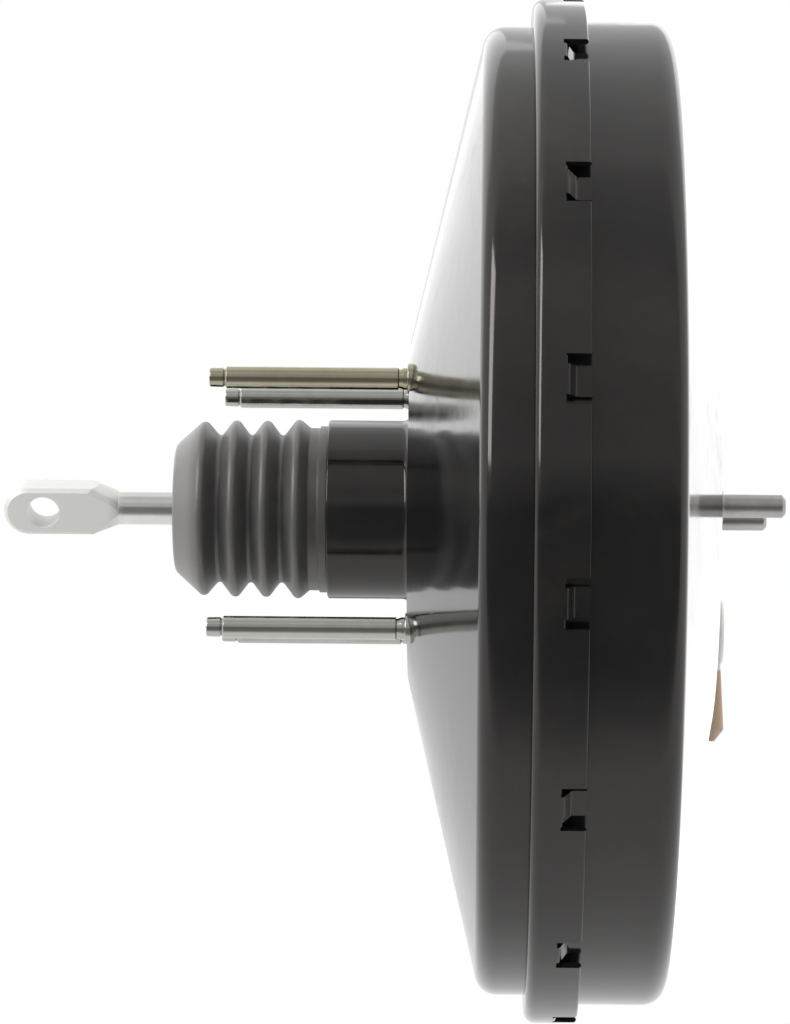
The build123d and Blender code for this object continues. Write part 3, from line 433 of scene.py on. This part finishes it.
neck_mouth = REAR_SHEET / 2 - 0.05
rear_face = [
    (LANCE_X, BAND_RADIUS),
    (BAND_STEP_X, BAND_RADIUS, BAND_CORNER),
    (BAND_STEP_X, REAR_WALL_RADIUS),
    ((REAR_WALL_RADIUS - FLAT_RADIUS) / CONE_SLOPE, REAR_WALL_RADIUS, REAR_CORNER),
    (0, FLAT_RADIUS, FLAT_CORNER),
    (0, NECK_RADIUS, NECK_FILLET),
    (-NECK_LENGTH, NECK_RADIUS, neck_mouth),
]
both_faces = sheet_outline(rear_face, -REAR_SHEET)
inner_mouth = both_faces[len(rear_face)]
both_faces[len(rear_face)] = (inner_mouth[0], inner_mouth[1], neck_mouth)
shell_line = supported(rounded(both_faces, closed=False), closed=False)
band_line = rounded(
    [
        (LANCE_X, BAND_RADIUS - REAR_SHEET),
        (BAND_END_X, BAND_RADIUS - REAR_SHEET, BAND_EDGE),
        (BAND_END_X, BAND_RADIUS, BAND_EDGE),
        (LANCE_X, BAND_RADIUS),
    ],
    closed=False,
    steps=3,
)
tongue_face = [
    (LANCE_X, BAND_RADIUS),
    (LANCE_X + BEND_START, BAND_RADIUS, BEND_ROUND),
    (LANCE_X + BEND_END, BAND_RADIUS - LANCE_DEPTH, BEND_ROUND),
    (BAND_END_X, BAND_RADIUS - LANCE_DEPTH),
]
tongue_line = rounded(sheet_outline(tongue_face, REAR_SHEET), steps=5)
columns = []
half = LANCE_HALF / BAND_RADIUS
half_tongue = half * LANCE_TONGUE
half_slot = (half + half_tongue) / 2
plain_run = 2 * math.pi / LANCE_COUNT - 2 * half
for lance in range(LANCE_COUNT):
    middle = math.radians(LANCE_FIRST_ANGLE + 360 / LANCE_COUNT * lance)
    columns.append((middle - half, "band"))
    columns.append((middle - half_slot, "slot"))
    for step in range(TONGUE_COLUMNS + 1):
        columns.append((middle + half_tongue * (2 * step / TONGUE_COLUMNS - 1), "tongue"))
    columns.append((middle + half_slot, "slot"))
    columns.append((middle + half, "band"))
    for step in range(1, PLAIN_COLUMNS):
        columns.append((middle + half + plain_run * step / PLAIN_COLUMNS, "band"))
vertices = []
faces = []
rings = []
for angle, kind in columns:
    ring = [len(vertices) + k for k in range(len(shell_line))]
    vertices.extend(around(point.x, point.y, angle) for point in shell_line)
    rim = []
    if kind != "slot":
        line = band_line[1:-1] if kind == "band" else tongue_line
        rim = [len(vertices) + k for k in range(len(line))]
        vertices.extend(around(point.x, point.y, angle) for point in line)
    if kind == "band":
        rim = [ring[-1], *rim, ring[0]]
    rings.append((ring, rim, kind))
for index, (ring, rim, kind) in enumerate(rings):
    next_ring, next_rim, next_kind = rings[(index + 1) % len(rings)]
    for a in range(len(ring) - 1):
        faces.append((ring[a], ring[a + 1], next_ring[a + 1], next_ring[a]))
    if kind == "band" == next_kind:
        for a in range(len(rim) - 1):
            faces.append((rim[a], rim[a + 1], next_rim[a + 1], next_rim[a]))
        continue
    faces.append((ring[0], ring[-1], next_ring[-1], next_ring[0]))
    if kind == "tongue" == next_kind:
        for a in range(len(rim)):
            b = (a + 1) % len(rim)
            faces.append((rim[a], rim[b], next_rim[b], next_rim[a]))
    else:
        faces.extend(tuple(end) for end in (rim, next_rim) if end)
rear_shell = add_piece("rear_shell_pressing", vertices, faces, "housing", black_enamel)
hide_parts("rear_shell")


# Front shell
# A shallow pan drawn from 1.6 mm sheet. Its flange turns out under the band, its face rises in a
# flat cone to the master cylinder's seat, and the pilot hole has a collar drawn inwards.
def spun(name, corners, body, material, y=0.0, z=0.0, steps=96, arc=6, sharp=40):
    """Piece turned about a line along X from a closed outline in millimetres."""
    outline = supported(rounded(corners, steps=arc))
    rings = []
    vertices = []
    for point in outline:
        if point.y < 1e-6:
            rings.append([len(vertices)] * steps)
            vertices.append((point.x * MM, y * MM, z * MM))
            continue
        rings.append([len(vertices) + k for k in range(steps)])
        for k in range(steps):
            x, across, up = around(point.x, point.y, 2 * math.pi * k / steps)
            vertices.append((x, across + y * MM, up + z * MM))
    faces = []
    for ring, next_ring in zip(rings, rings[1:] + rings[:1]):
        for k in range(steps):
            loop = (ring[k], ring[(k + 1) % steps], next_ring[(k + 1) % steps], next_ring[k])
            loop = tuple(dict.fromkeys(loop))
            if len(loop) > 2:
                faces.append(loop)
    return add_piece(name, vertices, faces, body, material, sharp)


FRONT_SHEET = 1.6
FRONT_WALL_RADIUS = 135.2
FLANGE_RADIUS = 138.5
FLANGE_X = 39.85
FRONT_FACE_X = 82.8
FRONT_FLAT_RADIUS = 60.0
FRONT_CONE_FALL = math.tan(math.radians(10.0))
FRONT_CORNER = 6.0
FLANGE_BEND = 1.25
PILOT_RADIUS = 19.0
PILOT_DEPTH = 8.8
PILOT_BEND = 2.5
front_corner_x = FRONT_FACE_X - (FRONT_WALL_RADIUS - FRONT_FLAT_RADIUS) * FRONT_CONE_FALL
front_face = [
    (FLANGE_X, FLANGE_RADIUS),
    (FLANGE_X, FRONT_WALL_RADIUS, FLANGE_BEND),
    (front_corner_x, FRONT_WALL_RADIUS, FRONT_CORNER),
    (FRONT_FACE_X, FRONT_FLAT_RADIUS, FRONT_CORNER),
    (FRONT_FACE_X, PILOT_RADIUS, PILOT_BEND),
    (FRONT_FACE_X - PILOT_DEPTH, PILOT_RADIUS),
]
front_shell = spun(
    "front_shell_pressing", sheet_outline(front_face, FRONT_SHEET), "housing", black_enamel,
    steps=192, arc=8,
)
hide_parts("front_shell")


# Firewall studs
# Four steel studs, zinc plated and passivated, swaged through the cone's foot: a dog point to lead
# the nut on, a groove and a bright chamfer, the shank, a relief, and the collar in the sheet.
FIREWALL_PITCH = 67.0
STUD_REACH = 53.5
STUD_RADIUS = 3.0
DOG_RADIUS = 2.65
DOG_LENGTH = 3.7
DOG_TAPER = 0.1
GROOVE_RADIUS = 2.3
GROOVE = 0.5
RELIEF_X = -2.9
RELIEF = 1.5
COLLAR_RADIUS = 4.2
COLLAR_HEIGHT = 0.4
HEAD_RADIUS = 5.5
HEAD_HEIGHT = 2.5
REAR_PLATE = 2.0
CRISP_EDGE = 0.1
THREAD_EDGE = 0.15
DOG_EDGE = 0.4
COLLAR_EDGE = 0.35
HEAD_SEAT_EDGE = 0.4
HEAD_EDGE = 0.6


def plated(name, colour, worn_colour, roughness):
    """Plated steel: satin, with a fine relief and darker handled patches."""
    return finish_material(
        name, colour, roughness, worn_colour, roughness + 0.15,
        scale=900, fine=0.4, bump=0.02, cover=0.7, Metallic=1.0,
    )


zinc_olive = plated("olive_passivated_zinc", (0.41, 0.39, 0.29), (0.24, 0.22, 0.13), 0.12)
zinc_grey = plated("grey_passivated_zinc", (0.48, 0.49, 0.455), (0.28, 0.28, 0.25), 0.13)
stud_head = REAR_SHEET + REAR_PLATE
dog_end = -STUD_REACH + DOG_LENGTH
groove_floor = dog_end + GROOVE / 2
stud_line = [
    (-STUD_REACH, 0),
    (-STUD_REACH, DOG_RADIUS - DOG_TAPER, DOG_EDGE),
    (dog_end, DOG_RADIUS, THREAD_EDGE),
    (groove_floor, GROOVE_RADIUS, CRISP_EDGE),
    (groove_floor + STUD_RADIUS - GROOVE_RADIUS, STUD_RADIUS, THREAD_EDGE),
    (RELIEF_X, STUD_RADIUS, CRISP_EDGE),
    (RELIEF_X + GROOVE / 2, GROOVE_RADIUS + GROOVE / 2, CRISP_EDGE),
    (RELIEF_X + RELIEF, STUD_RADIUS, CRISP_EDGE),
    (-COLLAR_HEIGHT, STUD_RADIUS, CRISP_EDGE),
    (-COLLAR_HEIGHT, COLLAR_RADIUS, COLLAR_EDGE),
    (stud_head, COLLAR_RADIUS),
    (stud_head, HEAD_RADIUS, HEAD_SEAT_EDGE),
    (stud_head + HEAD_HEIGHT, HEAD_RADIUS, HEAD_EDGE),
    (stud_head + HEAD_HEIGHT, 0),
]
firewall_places = [(side, level) for side in (-1, 1) for level in (-1, 1)]
for number, (side, level) in enumerate(firewall_places, 1):
    finish = zinc_olive if level > 0 > side else zinc_grey
    stud = spun(
        f"firewall_stud_{number}", stud_line, "housing", finish,
        side * FIREWALL_PITCH / 2, level * FIREWALL_PITCH / 2, steps=48,
    )
    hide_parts("firewall_studs")


# Master cylinder studs
# Two thicker, shorter studs on the front flat, in a darker phosphate finish, with a collar on the
# sheet and a chamfered end.
MASTER_PITCH = 72.0
MASTER_RADIUS = 3.1
MASTER_REACH = 18.2
MASTER_COLLAR_RADIUS = 4.4
MASTER_COLLAR_HEIGHT = 1.5
MASTER_EDGE = 0.3
MASTER_CHAMFER = 0.9
MASTER_TIP_EDGE = 0.2
FRONT_PLATE = 3.0
phosphate = plated("phosphated_steel", (0.50, 0.485, 0.47), (0.28, 0.27, 0.26), 0.3)
master_head = FRONT_FACE_X - FRONT_SHEET - FRONT_PLATE
master_tip = FRONT_FACE_X + MASTER_REACH
for side in (-1, 1):
    stud = spun(
        "master_stud_near" if side < 0 else "master_stud_far",
        [
            (master_head - HEAD_HEIGHT, 0),
            (master_head - HEAD_HEIGHT, HEAD_RADIUS, HEAD_EDGE),
            (master_head, HEAD_RADIUS, HEAD_SEAT_EDGE),
            (master_head, MASTER_COLLAR_RADIUS),
            (FRONT_FACE_X + MASTER_COLLAR_HEIGHT, MASTER_COLLAR_RADIUS, MASTER_EDGE),
            (FRONT_FACE_X + MASTER_COLLAR_HEIGHT, MASTER_RADIUS, MASTER_EDGE),
            (master_tip - MASTER_CHAMFER, MASTER_RADIUS, MASTER_EDGE),
            (master_tip, MASTER_RADIUS - MASTER_CHAMFER, MASTER_TIP_EDGE),
            (master_tip, 0),
        ],
        "housing", phosphate, side * MASTER_PITCH / 2, steps=48,
    )
    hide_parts("master_cylinder_studs")


# Dust boot
# A moulded rubber bellows from the neck's mouth to the input rod. Its nose and crests carry painted
# highlights, lighter colour laid in for the light on them, and the valleys keep the plain dark rubber.
BOOT_NOSE_X = -64.5
BOOT_NOSE_RADIUS = 17.4
BOOT_HOLE = 5.0
BOOT_FIRST_X = -56.5
BOOT_FIRST_RADIUS = 24.6
BOOT_PITCH = 8.53
BOOT_CREST_RADIUS = 25.3
BOOT_VALLEY_RADIUS = 19.7
BOOT_WALL = 1.3
BOOT_SHOULDER_X = -27.5
BOOT_SHOULDER_RADIUS = 22.4
BOOT_LIP_X = -24.7
BOOT_CUFF_RADIUS = 22.95
BOOT_CUFF_END = -19.5
BOOT_NOSE_ROUND = 2.6
BOOT_CREST_ROUND = 1.5
BOOT_VALLEY_ROUND = 1.0
BOOT_SHOULDER_ROUND = 0.6
BOOT_LIP_ROUND = 0.4
BOOT_CUFF_ROUND = 0.2
# Painted highlights: lighter colours laid on the nose and on the crests in place of the light on them.
NOSE_PAINTED_HIGHLIGHT = (0.162, 0.159, 0.156)
NOSE_PAINTED_HIGHLIGHT_FROM = 56.5
NOSE_PAINTED_HIGHLIGHT_TO = 61.0
CREST_PAINTED_HIGHLIGHT = (0.085, 0.084, 0.083)
CREST_PAINTED_HIGHLIGHT_FROM = 22.0
CREST_PAINTED_HIGHLIGHT_TO = 25.2


# Zone of a part: 0 up to one place and 1 from another, measured along X, along Z or out from the axis
zone, entry, leave = new_group(
    "zone_of_part", {"From": 0.0, "To": 0.001, "X": 0.0, "Z": 0.0, "Radius": 0.0}, ["Mask"]
)
spot_here = add_node(zone, "TexCoord")
parts = add_node(zone, "SeparateXYZ")
crosswise = add_node(zone, "VectorMath", operation="MULTIPLY")
crosswise.inputs[1].default_value = (0, 1, 1)
out_from_axis = add_node(zone, "VectorMath", operation="LENGTH")
along = add_node(zone, "Math", operation="MULTIPLY")
with_height = add_node(zone, "Math", operation="MULTIPLY_ADD")
with_radius = add_node(zone, "Math", operation="MULTIPLY_ADD")
edge = add_node(zone, "MapRange", interpolation_type="SMOOTHSTEP")
zone.links.new(spot_here.outputs["Object"], parts.inputs[0])
zone.links.new(spot_here.outputs["Object"], crosswise.inputs[0])
zone.links.new(crosswise.outputs[0], out_from_axis.inputs[0])
zone.links.new(parts.outputs["X"], along.inputs[0])
zone.links.new(entry.outputs["X"], along.inputs[1])
zone.links.new(parts.outputs["Z"], with_height.inputs[0])
zone.links.new(entry.outputs["Z"], with_height.inputs[1])
zone.links.new(along.outputs[0], with_height.inputs[2])
zone.links.new(out_from_axis.outputs["Value"], with_radius.inputs[0])
zone.links.new(entry.outputs["Radius"], with_radius.inputs[1])
zone.links.new(with_height.outputs[0], with_radius.inputs[2])
zone.links.new(with_radius.outputs[0], edge.inputs["Value"])
zone.links.new(entry.outputs["From"], edge.inputs["From Min"])
zone.links.new(entry.outputs["To"], edge.inputs["From Max"])
zone.links.new(edge.outputs["Result"], leave.inputs["Mask"])


def change_in_zone(material, socket, value, **where):
    """Blends one value or colour of a material into another within a zone of the part."""
    tree = material.node_tree
    target = tree.nodes["Principled BSDF"].inputs[socket]
    mask = use_group(tree, zone, **where)
    coloured = target.type == "RGBA"
    change = add_node(tree, "Mix", data_type="RGBA" if coloured else "FLOAT")
    amount, before, beyond = [inlet for inlet in change.inputs if inlet.enabled]
    blended = next(outlet for outlet in change.outputs if outlet.enabled)
    tree.links.new(mask.outputs["Mask"], amount)
    if target.is_linked:
        tree.links.new(target.links[0].from_socket, before)
    else:
        before.default_value = target.default_value
    beyond.default_value = (*value, 1) if coloured else value
    tree.links.new(blended, target)


# Rubber with real dust marks, and painted highlights laid on its crests and nose below.
rubber = finish_material(
    "rubber_painted_highlights", (0.024, 0.023, 0.023), 0.36, (0.085, 0.083, 0.082), 0.55,
    scale=500, fine=0.5, bump=0.12, cover=1.1, IOR=1.7, Sheen_Weight=0.25, Sheen_Roughness=0.4,
    Specular_Tint=(1.0, 0.96, 0.93, 1.0),
)
# Painted highlights: the crests are painted lighter out from the axis, and the nose lighter towards -X.
change_in_zone(
    rubber, "Base Color", CREST_PAINTED_HIGHLIGHT, From=CREST_PAINTED_HIGHLIGHT_FROM * MM, To=CREST_PAINTED_HIGHLIGHT_TO * MM, Radius=1.0
)
change_in_zone(rubber, "Base Color", NOSE_PAINTED_HIGHLIGHT, From=NOSE_PAINTED_HIGHLIGHT_FROM * MM, To=NOSE_PAINTED_HIGHLIGHT_TO * MM, X=-1.0)
boot_face = [
    (BOOT_NOSE_X, BOOT_HOLE),
    (BOOT_NOSE_X, BOOT_NOSE_RADIUS, BOOT_NOSE_ROUND),
    (BOOT_FIRST_X, BOOT_FIRST_RADIUS, BOOT_CREST_ROUND),
]
for crest in range(1, 4):
    crest_x = BOOT_FIRST_X + crest * BOOT_PITCH
    boot_face.append((crest_x - BOOT_PITCH / 2, BOOT_VALLEY_RADIUS, BOOT_VALLEY_ROUND))
    boot_face.append((crest_x, BOOT_CREST_RADIUS, BOOT_CREST_ROUND))
boot_face.extend([
    (BOOT_SHOULDER_X, BOOT_SHOULDER_RADIUS, BOOT_SHOULDER_ROUND),
    (BOOT_LIP_X, BOOT_SHOULDER_RADIUS, BOOT_LIP_ROUND),
    (BOOT_LIP_X, BOOT_CUFF_RADIUS, BOOT_CUFF_ROUND),
    (BOOT_CUFF_END, BOOT_CUFF_RADIUS),
])
boot = spun(
    "dust_boot_bellows", sheet_outline(boot_face, BOOT_WALL), "housing", rubber, steps=144, sharp=60
)
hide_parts("dust_boot")
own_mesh(boot)


# Input rod
# A zinc plated rod with a bright rolled shank and a flat forged eye for the pedal pin, duller and
# turned a little about the rod's axis.
EYE_FROM = 78.0
EYE_TO = 84.0
EYE_COLOUR = (0.68, 0.685, 0.655)
EYE_METALLIC = 0.25
EYE_ROUGHNESS = 0.5
bright_zinc = plated("bright_zinc", (0.72, 0.72, 0.70), (0.46, 0.45, 0.42), 0.17)
for socket, eye_value in (
    ("Metallic", EYE_METALLIC),
    ("Base Color", EYE_COLOUR),
    ("Roughness", EYE_ROUGHNESS),
):
    change_in_zone(bright_zinc, socket, eye_value, From=EYE_FROM * MM, To=EYE_TO * MM, X=-1.0)
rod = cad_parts["input_rod"]
rod.data.materials.clear()
rod.data.materials.append(bright_zinc)


# Coil springs
# Round wire wound about X: the big cone behind the front plate, the input rod's own return spring
# and the check disc's light one.
WIRE_SIDES = 12
TURN_STEPS = 48
RETURN_WIRE = 2.2
RETURN_RADII = (31.0, 24.9)
RETURN_TURNS = 6.0
ROD_WIRE = 0.75
ROD_RADII = (7.7, 11.6)
ROD_TURNS = 4.0
CHECK_WIRE = 0.3
CHECK_RADII = (4.2, 4.2)
CHECK_TURNS = 3.0
CHECK_Y = 75.0
CHECK_Z = -31.0
bare_steel = plated("oiled_steel", (0.42, 0.41, 0.39), (0.25, 0.23, 0.21), 0.32)


def coil_spring(node, body, wire, radii, turns, y=0.0, z=0.0):
    """Winds a spring over a node's length and replaces the node with it."""
    first_radius, last_radius = radii
    low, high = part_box(node)
    start, end = low[0] / MM + wire, high[0] / MM - wire
    count = round(turns * TURN_STEPS)
    vertices = []
    for step in range(count + 1):
        share = step / count
        angle = 2 * math.pi * turns * share
        radius = first_radius + (last_radius - first_radius) * share
        outward = Vector((0, -math.cos(angle), math.sin(angle)))
        onward = Vector((0, math.sin(angle), math.cos(angle))) * radius
        onward.x = (end - start) / (2 * math.pi * turns)
        across = onward.normalized().cross(outward)
        middle = Vector((start + (end - start) * share, y, z)) + outward * radius
        for side in range(WIRE_SIDES):
            turn = 2 * math.pi * side / WIRE_SIDES
            rim = outward * math.cos(turn) + across * math.sin(turn)
            vertices.append((middle + rim * wire) * MM)
    faces = [tuple(range(WIRE_SIDES)), tuple(count * WIRE_SIDES + side for side in range(WIRE_SIDES))]
    for step in range(count):
        for side in range(WIRE_SIDES):
            a = step * WIRE_SIDES + side
            b = step * WIRE_SIDES + (side + 1) % WIRE_SIDES
            faces.append((a, b, b + WIRE_SIDES, a + WIRE_SIDES))
    spring = add_piece(node + "_coil", vertices, faces, body, bare_steel)
    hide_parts(node)
    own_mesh(spring)


coil_spring(
    "return_spring", "housing", RETURN_WIRE, RETURN_RADII, RETURN_TURNS
)
coil_spring("rod_return_spring", "input_rod", ROD_WIRE, ROD_RADII, ROD_TURNS)
coil_spring(
    "check_valve_spring", "housing", CHECK_WIRE, CHECK_RADII, CHECK_TURNS,
    CHECK_Y, CHECK_Z,
)


# Pieces inside and behind
# Steel plates and valve parts, rubber seals, a glass-filled valve body, and felt and foam rings in the
# tube. The check valve's body is coloured pale above its hose nipple, and the nipple tan.
NIPPLE_TOP_Z = -43.0
PALE_FROM_Z = -42.0
PALE_ABOVE_NIPPLE = (0.86, 0.84, 0.80)
glass_filled = finish_material(
    "glass_filled_plastic", (0.018, 0.018, 0.019), 0.38, (0.05, 0.05, 0.05), 0.55,
    scale=700, fine=0.6, bump=0.08, cover=0.5,
)
tan_nylon = finish_material(
    "tan_nylon", (0.50, 0.36, 0.25), 0.34, (0.36, 0.24, 0.16), 0.5,
    scale=500, fine=0.4, bump=0.06, cover=0.6, Subsurface_Weight=0.1,
)
# The valve is coloured pale from just above the nipple up, and tan below.
change_in_zone(tan_nylon, "Base Color", PALE_ABOVE_NIPPLE, From=NIPPLE_TOP_Z * MM, To=PALE_FROM_Z * MM, Z=1.0)
felt = finish_material(
    "grey_felt", (0.20, 0.19, 0.18), 0.95, (0.12, 0.115, 0.11), 1.0,
    scale=1600, fine=1.5, bump=0.8, cover=0.8,
)
foam = finish_material(
    "open_foam", (0.045, 0.045, 0.05), 0.95, (0.02, 0.02, 0.022), 1.0,
    scale=1300, fine=1.2, bump=1.0, cover=0.8,
)
for material, names in (
    (bare_steel, "rear_reinforcement front_reinforcement seal_retainer diaphragm_plate output_rod"),
    (bare_steel, "output_rod_tip rod_retainer stop_key air_valve_plunger poppet_washer poppet_retainer"),
    (bare_steel, "rod_spring_seat poppet_spring"),
    (rubber, "diaphragm tail_seal reaction_disc poppet_valve check_valve_grommet check_valve_disc"),
    (glass_filled, "valve_body tail_bearing"),
    (tan_nylon, "check_valve_body"),
    (felt, "air_filter"),
    (foam, "air_silencer"),
):
    for name in names.split():
        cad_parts[name].data.materials.clear()
        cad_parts[name].data.materials.append(material)
